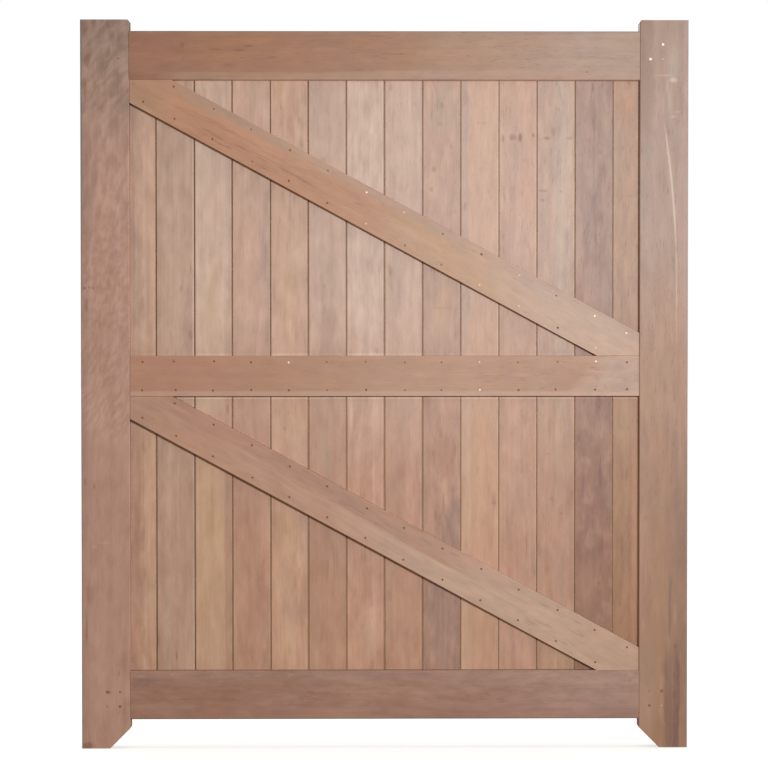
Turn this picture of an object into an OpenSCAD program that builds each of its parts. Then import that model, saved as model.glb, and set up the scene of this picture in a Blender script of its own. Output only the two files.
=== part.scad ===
// Framed, ledged and braced garden gate: one leaf, 1500 x 1800 x 45 mm.
// +Z is up and +X runs towards the hanging side. The braced side faces -Y, the boarded side +Y.
// The origin is on the outer edge of the hanging stile, at mid-thickness, level with its foot.

/* [Leaf] */
// Width over both stiles
leaf_w = 1500; // [1000:10:1800]
// Height from the feet to the tops of the horns
leaf_h = 1800; // [1400:10:2100]
// Thickness of the stiles and the rails
frame_t = 45; // [44:1:60]

/* [Frame] */
// Face width of each stile
stile_w = 120; // [105:1:150]
// Face width of the top and bottom rails
rail_w = 120; // [112:1:150]
// How far the horns stand above the top rail
horn_h = 28; // [10:1:80]
// How far the feet reach below the bottom rail
foot_h = 72; // [55:1:120]
// Size of the corner sawn off the inside of each foot
foot_cut = 50; // [10:1:50]
// Radius of the inner corner of each horn
horn_r = 5; // [1:0.5:12]
// Edges eased along the frame
frame_arris = 1.5; // [0.5:0.1:3]

/* [Ledge and braces] */
// Face width of the middle ledge
ledge_w = 100; // [80:1:120]
// Face width of each brace
brace_w = 100; // [80:1:120]
// Thickness of the ledge and the braces
ledge_t = 22; // [16:0.5:22]
// How far the ledge and the braces lie behind the face of the frame
ledge_back = 1; // [0:0.1:2]
// Edges eased along the ledge and the braces
ledge_arris = 1; // [0.5:0.1:3]

/* [Boards] */
// Number of boards, with the two narrower ones at the sides
board_count = 14; // [8:1:20]
// Cover width of the board beside each stile
side_board_w = 64; // [40:1:90]
// Thickness of the boards
board_t = 19; // [18:0.5:20]
// Open joint between one board's face and the next
joint_gap = 1.6; // [1:0.1:3]
// Edges eased along the boards on the braced side
board_arris = 1; // [0.5:0.1:2]
// Size of the V along each joint on the boarded side
vee = 3; // [1:0.5:5]

/* [Joinery] */
// Length of each rail tenon
tenon_len = 90; // [60:1:95]
// Height of each rail tenon
tenon_h = 85; // [60:1:85]
// Thickness of each rail tenon
tenon_t = 15; // [10:1:18]
// Diameter of the pins through the tenons
pin_d = 8; // [5:0.5:10]

/* [Hidden] */
// Distances in from the rail's outer edge to the tenon and to the two rows of pins
tenon_in = 15;
pin_rows = [32, 68];
// Distances in from the stile's inner edge to the two columns of pins
pin_columns = [26, 57];
// Pins are driven from the braced side, sunk a little and stopped short of the other face
pin_sink = 0.5;
pin_cover = 7;
// Spare depth at the ends of the mortises
mortise_gap = 2;
// Tongue on the boards' outer edges and ends, and the groove that houses it
house_t = 8;
house_len = 10;
groove_depth = 12;
// Tongue and groove from board to board
tongue_t = 6;
tongue_len = 7;
board_groove_t = 6.4;
board_groove_depth = 8;
tongue_set = 6;
// How far cutting solids reach past the face they cut
over = 1;
corner_steps = 6;

// Faces of the parts across the thickness
frame_back = -frame_t / 2;
ledge_back_y = frame_back + ledge_back;
board_back = ledge_back_y + ledge_t;
board_front = board_back + board_t;

// Opening between the stiles and the rails
open_left = stile_w - leaf_w;
open_right = -stile_w;
open_w = open_right - open_left;
open_bottom = foot_h + rail_w;
open_top = leaf_h - horn_h - rail_w;

// The ledge halves the opening and leaves two equal bays
bay_h = (open_top - open_bottom - ledge_w) / 2;
ledge_z = open_bottom + bay_h;
brace_angle = atan(bay_h / open_w);
brace_len = norm([open_w, bay_h]) + brace_w;

board_pitch = (open_w - 2 * side_board_w) / (board_count - 2);

frame_tone = "#a98272";
top_tone = "#a07a69";
bottom_tone = "#83695e";
ledge_tone = "#a1826f";
brace_tone = "#a68872";
pin_tone = "#8a8480";
board_tones = ["#a98672", "#9b8271", "#ae9175", "#a38576", "#b08a6c", "#a68d78", "#b6978a",
               "#b29283", "#96776d", "#b9906f", "#b08d7e", "#a79182", "#8c6d64", "#a9826a"];

function board_name(i) = str("board_", i < 10 ? "0" : "", i);

// Centre line of the joint to the right of board i; 0 and board_count are the stiles' edges
function joint_x(i) =
    i == 0 ? open_left :
    i == board_count ? open_right :
    open_left + side_board_w + (i - 1) * board_pitch;

// Heights of the tenon and of the pins on a rail, for the bottom and the top of the leaf
function tenon_z(at_top) = at_top ? leaf_h - horn_h - tenon_in - tenon_h : foot_h + tenon_in;
function pin_z(at_top, row) = at_top ? leaf_h - horn_h - row : foot_h + row;

// Points of an arc about a centre
function arc(centre, r, from, to) =
    [for (s = [0 : corner_steps])
        let (a = from + (to - from) * s / corner_steps)
        centre + r * [cos(a), sin(a)]];

// Rectangle centred on the origin with its four corners cut off
module eased_rect(w, t, cut) {
    polygon([
        [cut - w / 2, -t / 2], [w / 2 - cut, -t / 2],
        [w / 2, cut - t / 2], [w / 2, t / 2 - cut],
        [w / 2 - cut, t / 2], [cut - w / 2, t / 2],
        [-w / 2, t / 2 - cut], [-w / 2, cut - t / 2]]);
}

// Bar along +X from the origin, with its width along Z and its thickness along Y, both centred
module bar(len, w, t, cut) {
    rotate([90, 0, 90]) linear_extrude(len) eased_rect(t, w, cut);
}

// Box given by two opposite corners
module block(low, high) {
    translate(low) cube(high - low);
}

// The pins of one corner of the hanging side, at the size of their holes
module pin_set(at_top, from_y, to_y) {
    for (row = pin_rows, column = pin_columns)
        translate([column - stile_w, from_y, pin_z(at_top, row)])
            rotate([-90, 0, 0]) cylinder(d = pin_d, h = to_y - from_y, $fn = 32);
}

// Turns what is drawn on the hanging side into its twin on the closing side
module closing_side() {
    translate([-leaf_w, 0, 0]) mirror([1, 0, 0]) children();
}

// Face of a stile, with the corner off its foot and a round inner corner on its horn
module stile_outline() {
    polygon(concat(
        [[0, 0], [0, leaf_h]],
        arc([horn_r - stile_w, leaf_h - horn_r], horn_r, 90, 180),
        [[-stile_w, foot_cut], [foot_cut - stile_w, 0]]));
}

// Stile of the hanging side, mortised for the rails and grooved for the boards
module stile() {
    difference() {
        intersection() {
            translate([-stile_w / 2, 0, 0])
                linear_extrude(leaf_h) eased_rect(stile_w, frame_t, frame_arris);
            translate([0, frame_t / 2, 0])
                rotate([90, 0, 0]) linear_extrude(frame_t) stile_outline();
        }
        block([-stile_w - over, board_back, open_bottom - house_len],
              [groove_depth - stile_w, board_back + house_t, open_top + house_len]);
        for (at_top = [false, true]) {
            block([-stile_w - over, -tenon_t / 2, tenon_z(at_top)],
                  [tenon_len + mortise_gap - stile_w, tenon_t / 2, tenon_z(at_top) + tenon_h]);
            pin_set(at_top, frame_back - over, frame_t / 2 - pin_cover);
        }
    }
}

module hanging_stile() {
    color(frame_tone) stile();
}

module closing_stile() {
    color(frame_tone) closing_side() stile();
}

// Rail with its two tenons; inner_z is the edge towards the boards and groove_z the groove's floor
module rail(at_top, low_z, inner_z, groove_z) {
    difference() {
        union() {
            translate([open_left, 0, low_z + rail_w / 2]) bar(open_w, rail_w, frame_t, frame_arris);
            block([open_left - tenon_len, -tenon_t / 2, tenon_z(at_top)],
                  [open_right + tenon_len, tenon_t / 2, tenon_z(at_top) + tenon_h]);
        }
        block([open_left - over, board_back, min(inner_z, groove_z)],
              [open_right + over, board_back + house_t, max(inner_z, groove_z)]);
        pin_set(at_top, frame_back, frame_t / 2 - pin_cover);
        closing_side() pin_set(at_top, frame_back, frame_t / 2 - pin_cover);
    }
}

module top_rail() {
    color(top_tone) rail(true, open_top, open_top - over, open_top + groove_depth);
}

module bottom_rail() {
    color(bottom_tone) rail(false, foot_h, open_bottom + over, open_bottom - groove_depth);
}

// Ledge nailed across the boards between the stiles
module middle_ledge() {
    color(ledge_tone)
        translate([open_left, ledge_back_y + ledge_t / 2, ledge_z + ledge_w / 2])
            bar(open_w, ledge_w, ledge_t, ledge_arris);
}

// Brace from the top left corner of a bay to its bottom right corner, cut to fit inside the bay
module brace(bay_z) {
    color(brace_tone)
        intersection() {
            translate([open_left + open_w / 2, ledge_back_y + ledge_t / 2, bay_z + bay_h / 2])
                rotate([0, brace_angle, 0])
                    translate([-brace_len / 2, 0, 0]) bar(brace_len, brace_w, ledge_t, ledge_arris);
            block([open_left, ledge_back_y - over, bay_z],
                  [open_right, board_back + over, bay_z + bay_h]);
        }
}

module upper_brace() {
    brace(ledge_z + ledge_w);
}

module lower_brace() {
    brace(open_bottom);
}

// Outline of a board's left edge, from the braced side to the boarded side
function left_edge(x, housed) =
    housed
    ? [[x - house_len, board_back], [x - house_len, board_back + house_t],
       [x, board_back + house_t], [x, board_front - vee], [x + vee, board_front]]
    : [[x + board_arris, board_back], [x, board_back + board_arris],
       [x, board_back + tongue_set], [x + board_groove_depth, board_back + tongue_set],
       [x + board_groove_depth, board_back + tongue_set + board_groove_t],
       [x, board_back + tongue_set + board_groove_t],
       [x, board_front - vee], [x + vee, board_front]];

// Outline of a board's right edge, from the boarded side to the braced side
function right_edge(x, housed) =
    let (tongue_mid = board_back + tongue_set + board_groove_t / 2)
    housed
    ? [[x - vee, board_front], [x, board_front - vee],
       [x, board_back + house_t], [x + house_len, board_back + house_t],
       [x + house_len, board_back]]
    : [[x - vee, board_front], [x, board_front - vee],
       [x, tongue_mid + tongue_t / 2], [x + tongue_len, tongue_mid + tongue_t / 2],
       [x + tongue_len, tongue_mid - tongue_t / 2], [x, tongue_mid - tongue_t / 2],
       [x, board_back + board_arris], [x - board_arris, board_back]];

// Board i, counted from the closing stile, with its ends cut back to a tongue for the rails
module board(i) {
    first = i == 1;
    last = i == board_count;
    left_x = joint_x(i - 1) + (first ? 0 : joint_gap / 2);
    right_x = joint_x(i) - (last ? 0 : joint_gap / 2);
    color(board_tones[(i - 1) % len(board_tones)])
        difference() {
            translate([0, 0, open_bottom - house_len])
                linear_extrude(open_top - open_bottom + 2 * house_len)
                    polygon(concat(left_edge(left_x, first), right_edge(right_x, last)));
            for (end_z = [open_bottom - house_len - over, open_top])
                block([left_x - house_len - over, board_back + house_t, end_z],
                      [right_x + house_len + over, board_front + over, end_z + house_len + over]);
        }
}

// Four pins through one corner joint
module pins(at_top) {
    color(pin_tone) pin_set(at_top, frame_back + pin_sink, frame_t / 2 - pin_cover);
}

hanging_stile();
closing_stile();
top_rail();
bottom_rail();
middle_ledge();
upper_brace();
lower_brace();
for (i = [1 : board_count])
    board(i);
pins(true);  // pins_top_hanging
pins(false);  // pins_bottom_hanging
closing_side() pins(true);  // pins_top_closing
closing_side() pins(false);  // pins_bottom_closing
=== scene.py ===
"""Looks of a framed, ledged and braced garden gate leaf in bare planed hardwood.

The braced side faces -Y, as the solids do. Lengths are in metres, or in millimetres in the tables
of marks. Tones of wood and metal are linear red, green and blue in thousandths.
"""
import math
import random

import bmesh
import bpy
from mathutils import Euler, Matrix, Vector


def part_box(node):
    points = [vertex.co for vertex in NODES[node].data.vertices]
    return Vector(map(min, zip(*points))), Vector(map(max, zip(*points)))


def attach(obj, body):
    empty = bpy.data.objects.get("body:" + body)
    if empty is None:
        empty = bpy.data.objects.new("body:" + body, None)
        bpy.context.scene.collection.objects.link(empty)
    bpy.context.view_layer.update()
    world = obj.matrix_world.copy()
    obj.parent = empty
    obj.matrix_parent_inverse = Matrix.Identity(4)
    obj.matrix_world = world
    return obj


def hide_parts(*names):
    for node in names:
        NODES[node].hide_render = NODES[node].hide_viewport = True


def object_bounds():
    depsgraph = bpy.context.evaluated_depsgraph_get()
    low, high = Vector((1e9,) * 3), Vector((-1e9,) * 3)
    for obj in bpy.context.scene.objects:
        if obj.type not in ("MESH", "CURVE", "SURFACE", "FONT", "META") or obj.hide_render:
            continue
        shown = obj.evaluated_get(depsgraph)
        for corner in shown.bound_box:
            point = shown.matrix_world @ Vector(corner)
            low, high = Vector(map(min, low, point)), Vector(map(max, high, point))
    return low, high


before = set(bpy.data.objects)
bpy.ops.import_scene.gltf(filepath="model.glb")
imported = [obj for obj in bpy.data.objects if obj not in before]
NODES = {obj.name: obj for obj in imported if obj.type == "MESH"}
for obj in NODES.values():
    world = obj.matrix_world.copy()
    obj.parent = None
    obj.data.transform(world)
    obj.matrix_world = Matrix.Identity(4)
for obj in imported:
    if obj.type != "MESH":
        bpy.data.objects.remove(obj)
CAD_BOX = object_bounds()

BODY = "root"
LOW, HIGH = CAD_BOX
CENTRE = (LOW + HIGH) / 2
BOARDS = sorted(name for name in NODES if name.startswith("board_"))
LEDGE_LOW, LEDGE_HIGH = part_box("middle_ledge")
LEDGE_WIDTH = LEDGE_HIGH.z - LEDGE_LOW.z
BAY_LOW, BAY_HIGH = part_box("upper_brace")
BRACE_ANGLE = math.atan2(BAY_HIGH.z - BAY_LOW.z, BAY_HIGH.x - BAY_LOW.x)


def middle(node):
    low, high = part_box(node)
    return (low + high) / 2


# ---------------- stage, lights and camera

CAMERA_FROM_CENTRE = Vector((-0.062, -5.7, 0.117))
CAMERA_TURN = [math.radians(angle) for angle in (90 - 1.157, 0.018, -0.605)]
CAMERA_LENS = 107.7
CAMERA_SENSOR = 36

# Softboxes: place from the leaf's middle, size, power
SOFTBOXES = {
    "key": ((0.98, -5.0, 0.7), 0.6, 203),
    "side": ((6.0, -0.6, 0.4), 1.6, 216),
    "back": ((-0.8, 4.5, 2.6), 1.2, 240),
}
LAMP_TINT = (0.917, 0.959, 1.0)
FLOOR_SUN_STRENGTH = 0.9
FLOOR_FILL_STRENGTH = 2.6
FLOOR_SPREAD = math.radians(50)
FLOOR_TINT = (0.96, 0.98, 1.0)
FLOOR_COLOUR = (0.86, 0.86, 0.85, 1)
FLOOR_ROUGHNESS = 0.9
FLOOR_HALF = 40
FLOOR_DROP = 0.001
AMBIENT = 0.33
AMBIENT_TINT = (1.0, 0.88, 0.76, 1)
WHITE = (1, 1, 1, 1)


def in_scene(name, data):
    made = bpy.data.objects.new(name, data)
    bpy.context.scene.collection.objects.link(made)
    return made


def make_floor():
    material = bpy.data.materials.new("pale_floor")
    material.use_nodes = True
    shader = material.node_tree.nodes["Principled BSDF"]
    shader.inputs["Base Color"].default_value = FLOOR_COLOUR
    shader.inputs["Roughness"].default_value = FLOOR_ROUGHNESS
    corners = []
    for across, away in ((-1, -1), (1, -1), (1, 1), (-1, 1)):
        place = (CENTRE.x + across * FLOOR_HALF, CENTRE.y + away * FLOOR_HALF, LOW.z - FLOOR_DROP)
        corners.append(place)
    mesh = bpy.data.meshes.new("floor")
    mesh.from_pydata(corners, [], [(0, 1, 2, 3)])
    mesh.materials.append(material)
    floor = in_scene("floor", mesh)
    floor.visible_diffuse = False
    floor.visible_glossy = False
    return floor


def softbox(name, from_centre, size, power, lit):
    """A square light aimed at the middle of the leaf, which lights only what is in lit."""
    data = bpy.data.lights.new(name, "AREA")
    data.shape = "SQUARE"
    data.size = size
    data.energy = power
    data.color = LAMP_TINT
    light = in_scene(name, data)
    light.location = CENTRE + Vector(from_centre)
    light.rotation_euler = (CENTRE - light.location).to_track_quat("-Z", "Y").to_euler()
    light.light_linking.receiver_collection = lit


def floor_light(name, strength, casts_shadow, lit):
    """Even light from straight above for the floor alone."""
    data = bpy.data.lights.new(name, "SUN")
    data.energy = strength
    data.angle = FLOOR_SPREAD
    data.color = FLOOR_TINT
    data.use_shadow = casts_shadow
    in_scene(name, data).light_linking.receiver_collection = lit


def make_world():
    """White behind the leaf, and a dim even light on it."""
    world = bpy.data.worlds.new("studio")
    bpy.context.scene.world = world
    world.use_nodes = True
    tree = world.node_tree
    tree.nodes.clear()
    seen = tree.nodes.new("ShaderNodeBackground")
    seen.inputs["Color"].default_value = WHITE
    dim = tree.nodes.new("ShaderNodeBackground")
    dim.inputs["Color"].default_value = AMBIENT_TINT
    dim.inputs["Strength"].default_value = AMBIENT
    path = tree.nodes.new("ShaderNodeLightPath")
    mix = tree.nodes.new("ShaderNodeMixShader")
    out = tree.nodes.new("ShaderNodeOutputWorld")
    tree.links.new(path.outputs["Is Camera Ray"], mix.inputs["Fac"])
    tree.links.new(dim.outputs[0], mix.inputs[1])
    tree.links.new(seen.outputs[0], mix.inputs[2])
    tree.links.new(mix.outputs[0], out.inputs["Surface"])


def make_camera():
    data = bpy.data.cameras.new("camera")
    data.lens = CAMERA_LENS
    data.sensor_width = CAMERA_SENSOR
    camera = in_scene("camera", data)
    camera.location = CENTRE + CAMERA_FROM_CENTRE
    camera.rotation_euler = Euler(CAMERA_TURN, "XYZ")
    bpy.context.scene.camera = camera


floor_only = bpy.data.collections.new("lit_floor")
floor_only.objects.link(make_floor())
leaf_only = bpy.data.collections.new("lit_leaf")
for lamp, (from_centre, size, power) in SOFTBOXES.items():
    softbox(lamp, from_centre, size, power, leaf_only)
floor_light("overhead", FLOOR_SUN_STRENGTH, True, floor_only)
floor_light("floor_fill", FLOOR_FILL_STRENGTH, False, floor_only)
make_world()
make_camera()
bpy.context.scene.view_settings.view_transform = "Standard"


# ---------------- wood

# Tones of the timber
TAN = (450, 252, 157)
ASH = (400, 232, 152)
STRAW = (458, 272, 158)
PEACH = (450, 238, 139)
ROSE = (428, 219, 133)
CLAY = (380, 196, 117)
PLUM = (330, 163, 99)
UMBER = (322, 151, 68)
DAMSON = (250, 106, 56)
# Tone of the painted sheen on the boards' upper bay
PALE = (550, 415, 335)

# Tones of single marks and stains
CREAM = (600, 440, 330)
HONEY = (480, 280, 140)
AMBER = (450, 205, 100)
BLUSH = (460, 240, 165)
MAUVE = (360, 208, 152)
OLIVE = (380, 262, 170)
DUSK = (262, 146, 106)
MIST = (360, 245, 195)
LICHEN = (420, 335, 245)
SMEAR = (370, 270, 200)
EMBER = (300, 112, 52)
RUSSET = (300, 135, 82)
BARK = (160, 80, 50)
# Painted shade beside the joints between boards
JOINT_SHADE_TONE = (190, 78, 36)
# Painted light on the walls inside the joints
JOINT_WALL_LIGHT_TONE = (495, 305, 168)

# The grain's layers: cells a metre across the timber and along it
WANDER_CELLS = (3, 1.3)
BAND_CELLS = (80, 1.3)
LINE_CELLS = (360, 6)
FIBRE_CELLS = (1100, 30)
CLOUD_CELLS = (20, 7)
MOTTLE_CELLS = (55, 20)
PORE_CELLS = (620, 42)
SHARE_CELLS = (22, 4)
BLUSH_CELLS = (24, 9)
# The noise is turned so that no face of the leaf lies along its cells, and shifted at random
NOISE_TURN = (0.5, 0.35, 0.6)
NOISE_SHIFT = 50

# How strongly each layer lightens and darkens the wood
BAND_DEPTH = 0.17
LINE_DEPTH = 0.085
FIBRE_DEPTH = 0.07
CLOUD_DEPTH = 0.26
MOTTLE_DEPTH = 0.25
PORE_SHADE = (880, 840, 810)
# What darkens the wood takes more from green and blue than from red
GRAIN_BALANCE = (0.74, 1.05, 1.33)
# Patches turn warmer or cooler
BLUSH_BALANCE = (0.08, -0.01, -0.15)
# How far the grain strays from a straight line, and where the pith lies beside the piece
WANDER_REACH = 0.03
PITH_ACROSS = (0.05, 0.16)
PITH_BEHIND = (0.03, 0.1)

GLOSS = 0.48
GLOSS_SPREAD = 0.1
PORE_GLOSS = 0.12
RELIEF = 0.0002
RELIEF_STRENGTH = 0.6
# Depth over which the marks of the braced side fade out
FRONT_FADE = 0.002
# How far the edge of a strip strays, and how soft it is
STRIPE_SWAY = 0.014
STRIPE_SOFT = 0.003
SPOT_SOFT = 0.75
SPOT_RAGGED = 0.7
DASH_SOFT = 0.07

UPRIGHT = 0.0
LEVEL = -math.pi / 2


def linear(tone):
    return tuple(part / 1000 for part in tone)


def opaque(colour):
    return (*linear(colour), 1) if isinstance(colour, tuple) else colour


class Graph:
    """Adds shader nodes to a new material; an input takes a socket or a plain value."""

    def __init__(self, name):
        self.material = bpy.data.materials.new(name)
        self.material.use_nodes = True
        self.tree = self.material.node_tree
        self.shader = self.tree.nodes["Principled BSDF"]

    def node(self, kind, inputs, **settings):
        node = self.tree.nodes.new("ShaderNode" + kind)
        for name, value in settings.items():
            setattr(node, name, value)
        for key, value in inputs.items():
            self.feed(node.inputs[key], value)
        return node

    def feed(self, socket, value):
        if isinstance(value, bpy.types.NodeSocket):
            self.tree.links.new(value, socket)
        else:
            socket.default_value = value

    def math(self, operation, a, b=0.0, c=0.0):
        return self.node("Math", {0: a, 1: b, 2: c}, operation=operation).outputs[0]

    def vector(self, operation, a, b=(0, 0, 0)):
        return self.node("VectorMath", {0: a, 1: b}, operation=operation).outputs[0]

    def scaled(self, vector, factor):
        return self.node("VectorMath", {0: vector, "Scale": factor}, operation="SCALE").outputs[0]

    def length(self, a):
        return self.node("VectorMath", {0: a}, operation="LENGTH").outputs["Value"]

    def split(self, vector):
        return self.node("SeparateXYZ", {0: vector}).outputs

    def join(self, x, y, z):
        return self.node("CombineXYZ", {0: x, 1: y, 2: z}).outputs[0]

    def mapped(self, vector, shift, turn, scale, kind="POINT"):
        inputs = {"Vector": vector, "Location": shift, "Rotation": turn, "Scale": scale}
        return self.node("Mapping", inputs, vector_type=kind).outputs[0]

    def noise(self, vector, detail, roughness=0.5):
        inputs = {"Vector": vector, "Scale": 1.0, "Detail": detail, "Roughness": roughness}
        return self.node("TexNoise", inputs).outputs["Fac"]

    def remap(self, value, low, high, to_low=0.0, to_high=1.0):
        inputs = {"Value": value, "From Min": low, "From Max": high, "To Min": to_low, "To Max": to_high}
        return self.node("MapRange", inputs, interpolation_type="SMOOTHSTEP").outputs["Result"]

    def mix(self, amount, a, b, blend="MIX"):
        inputs = {0: amount, 6: a, 7: b}
        return self.node("Mix", inputs, data_type="RGBA", blend_type=blend).outputs[2]

    def both(self, first, *others):
        """Mask of the places that lie in all the given masks."""
        for mask in others:
            first = self.math("MULTIPLY", first, mask)
        return first

    def close(self, colour, roughness, height, relief, strength):
        """Feeds the shader, with a bump from a height."""
        self.feed(self.shader.inputs["Base Color"], colour)
        self.feed(self.shader.inputs["Roughness"], roughness)
        bump = self.node("Bump", {"Height": height, "Distance": relief, "Strength": strength})
        self.feed(self.shader.inputs["Normal"], bump.outputs[0])


class Timber(Graph):
    """The finish of one piece of wood, worked out in the piece's own frame.

    There X runs across the grain, Y through the thickness and Z along the grain, from the
    piece's middle. Across is left to right on an upright piece, and top to bottom on a level
    or sloping one. Places along the leaf and heights are in the leaf's own frame.
    """

    def __init__(self, owner, main, second, seed, turn=UPRIGHT, width=None, figure=1.0):
        super().__init__(owner + "_wood")
        self.owner = owner
        low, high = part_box(owner)
        size = high - low
        self.width = width or (size.x if turn == UPRIGHT else size.z)
        self.rng = random.Random(seed)
        world = self.node("TexCoord", {}).outputs["Object"]
        self.world_x, _, self.world_z = self.split(world)
        self.spin = Matrix.Rotation(turn, 3, "Y")
        self.offset = -(self.spin @ ((low + high) / 2))
        self.place = self.mapped(world, self.offset, (0, turn, 0), (1, 1, 1))
        self.across, self.inwards, _ = self.split(self.place)
        self.front = self.remap(self.inwards, FRONT_FADE, -FRONT_FADE)
        self.lay_grain(main, second, figure)

    def stretched(self, cells, vector=None):
        """A place in the timber in a layer's own cells, in a stretch of noise of its own."""
        across, along = cells
        shift = [self.rng.uniform(-NOISE_SHIFT, NOISE_SHIFT) for axis in range(3)]
        return self.mapped(vector or self.bent, shift, NOISE_TURN, (across, across, along))

    def stray(self, value, noise, reach):
        """A value that noise moves by up to the reach, either way."""
        return self.math("MULTIPLY_ADD", noise, 2 * reach, self.math("SUBTRACT", value, reach))

    def lay_grain(self, main, second, figure):
        x, y, z = self.split(self.place)
        wander = self.noise(self.stretched(WANDER_CELLS, self.place), 2)
        shift = self.math("MULTIPLY_ADD", wander, 2 * WANDER_REACH, -WANDER_REACH)
        x = self.math("ADD", x, shift)
        self.bent = self.join(x, y, z)

        pith_x = self.rng.choice((-1, 1)) * self.rng.uniform(*PITH_ACROSS)
        pith_y = self.rng.choice((-1, 1)) * self.rng.uniform(*PITH_BEHIND)
        radius = self.length(self.vector("SUBTRACT", self.join(x, y, 0), (pith_x, pith_y, 0)))
        ringed = self.join(radius, 0, z)
        bands = self.noise(self.stretched(BAND_CELLS, ringed), 3, 0.6)
        lines = self.noise(self.stretched(LINE_CELLS, ringed), 2, 0.6)
        fibres = self.noise(self.stretched(FIBRE_CELLS), 1)
        self.clouds = self.noise(self.stretched(CLOUD_CELLS), 3)
        self.mottle = self.noise(self.stretched(MOTTLE_CELLS), 3)
        pores = self.remap(self.noise(self.stretched(PORE_CELLS), 1), 0.64, 0.8)

        layers = ((bands, BAND_DEPTH), (lines, LINE_DEPTH), (fibres, FIBRE_DEPTH),
                  (self.clouds, CLOUD_DEPTH), (self.mottle, MOTTLE_DEPTH))
        self.light = 0.0
        for layer, depth in layers:
            centred = self.math("SUBTRACT", layer, 0.5)
            self.light = self.math("MULTIPLY_ADD", centred, 2 * depth * figure, self.light)
        warmth = self.math("SUBTRACT", self.noise(self.stretched(BLUSH_CELLS), 2), 0.5)
        shade = self.vector("ADD", self.scaled(GRAIN_BALANCE, self.light), (1, 1, 1))
        shade = self.vector("ADD", shade, self.scaled(BLUSH_BALANCE, warmth))

        share = self.remap(self.noise(self.stretched(SHARE_CELLS), 2), 0.36, 0.64)
        self.colour = self.mix(share, opaque(main), opaque(second))
        self.colour = self.mix(1.0, self.colour, shade, "MULTIPLY")
        self.colour = self.mix(pores, self.colour, opaque(PORE_SHADE), "MULTIPLY")

        gloss = self.math("MULTIPLY_ADD", self.math("SUBTRACT", self.clouds, 0.5), GLOSS_SPREAD, GLOSS)
        self.gloss = self.math("MULTIPLY_ADD", pores, PORE_GLOSS, gloss)
        relief = self.math("MULTIPLY_ADD", lines, 0.6, self.math("MULTIPLY", fibres, 0.5))
        self.relief = self.math("SUBTRACT", relief, pores)

    def tint(self, tone, amount, *masks):
        """Turns the colour to a tone where the masks are, and keeps the grain's light and dark."""
        strength = self.math("MULTIPLY", self.both(*masks), amount)
        tone_now = self.scaled(linear(tone), self.math("ADD", self.light, 1.0))
        self.colour = self.mix(strength, self.colour, tone_now)

    def deepen(self, amount, *masks):
        """Darkens the colour where the masks are, or lightens it where the amount is below zero."""
        strength = self.math("MULTIPLY", self.both(*masks), -amount)
        factor = self.vector("ADD", self.scaled(GRAIN_BALANCE, strength), (1, 1, 1))
        self.colour = self.vector("MULTIPLY", self.colour, factor)

    def side(self, start, end):
        """Mask that grows across the piece between two shares of its half width."""
        x = self.split(self.bent)[0]
        return self.remap(x, start * self.width / 2, end * self.width / 2)

    def edge(self, start, end):
        """The same without the wander of the grain, for the wear along an arris."""
        return self.remap(self.across, start * self.width / 2, end * self.width / 2)

    def rise(self, start, end):
        """Mask that grows between two heights above the ground."""
        return self.remap(self.world_z, start, end)

    def run(self, start, end):
        """Mask that grows between two places along the leaf, from the closing side on."""
        return self.remap(self.world_x, start, end)

    def stripe(self, start, end, soft=STRIPE_SOFT):
        """Mask of a nearly straight upright strip between two places along the leaf."""
        x = self.stray(self.world_x, self.mottle, STRIPE_SWAY / 2)
        return self.both(self.remap(x, start - soft, start + soft), self.remap(x, end + soft, end - soft))

    def patches(self, cells, low, high):
        """Mask of loose patches, in cells of their own."""
        return self.remap(self.noise(self.stretched(cells), 2), low, high)

    def spot(self, start, x, z, wide, long):
        """Mask of a ragged oval on the braced side, wide across the grain and long with it.

        Its place from start on, its height and its size are in millimetres.
        """
        centre = self.spin @ Vector((start + x / 1000, 0, z / 1000)) + self.offset
        centre.y = 0
        from_centre = self.vector("SUBTRACT", self.place, centre)
        scaled = self.vector("MULTIPLY", from_centre, (2000 / wide, 0, 2000 / long))
        torn = self.math("MULTIPLY_ADD", self.mottle, 2 * SPOT_RAGGED, -SPOT_RAGGED)
        distance = self.math("ADD", self.length(scaled), torn)
        return self.both(self.remap(distance, 1.0, 1.0 - SPOT_SOFT), self.front)

    def mark(self, stains, specks, start=0.0):
        """Lays the stains of a table one by one, and then its specks all at once."""
        for *place, tone, percent in stains:
            self.tint(tone, percent / 100, self.spot(start, *place))
        total = 0.0
        for *place, percent in specks:
            total = self.math("MULTIPLY_ADD", self.spot(start, *place), percent / 100, total)
        self.deepen(1.0, total)

    def level(self, height, reach):
        """Mask of a thin level strip on the braced side."""
        distance = self.math("ABSOLUTE", self.math("SUBTRACT", self.world_z, height))
        return self.both(self.remap(distance, reach, 0.6 * reach), self.front)

    def flecks(self, cells, tone, amount, rare, *masks):
        """Short dashes with the grain, in a part of the piece."""
        dashes = self.remap(self.noise(self.stretched(cells), 1), rare, rare + DASH_SOFT)
        self.tint(tone, amount, dashes, self.both(*masks))

    def vein(self, across, wide, sway, tone, amount, *masks):
        """A thin line along the piece that sways from side to side and swells."""
        middle = self.math("MULTIPLY_ADD", self.clouds, 2 * sway, across * self.width / 2 - sway)
        distance = self.math("ABSOLUTE", self.math("SUBTRACT", self.across, middle))
        thick = self.remap(self.mottle, 0.36, 0.62, 0.15, 1.3)
        line = self.remap(self.math("DIVIDE", distance, thick), wide / 2, wide / 8)
        self.tint(tone, amount, line, self.both(*masks))

    def leaning(self, wide, long, lean, bend):
        """A place in cells that lean over from the grain, with their borders bent."""
        x, y, z = self.split(self.place)
        across = self.math("MULTIPLY_ADD", self.mottle, bend * wide, self.math("ADD", x, y))
        along = self.math("MULTIPLY_ADD", self.clouds, bend * long, z)
        return self.mapped(self.join(across, along, 0), (0, 0, 0), (0, 0, lean), (wide, long, 1), "TEXTURE")

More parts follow.
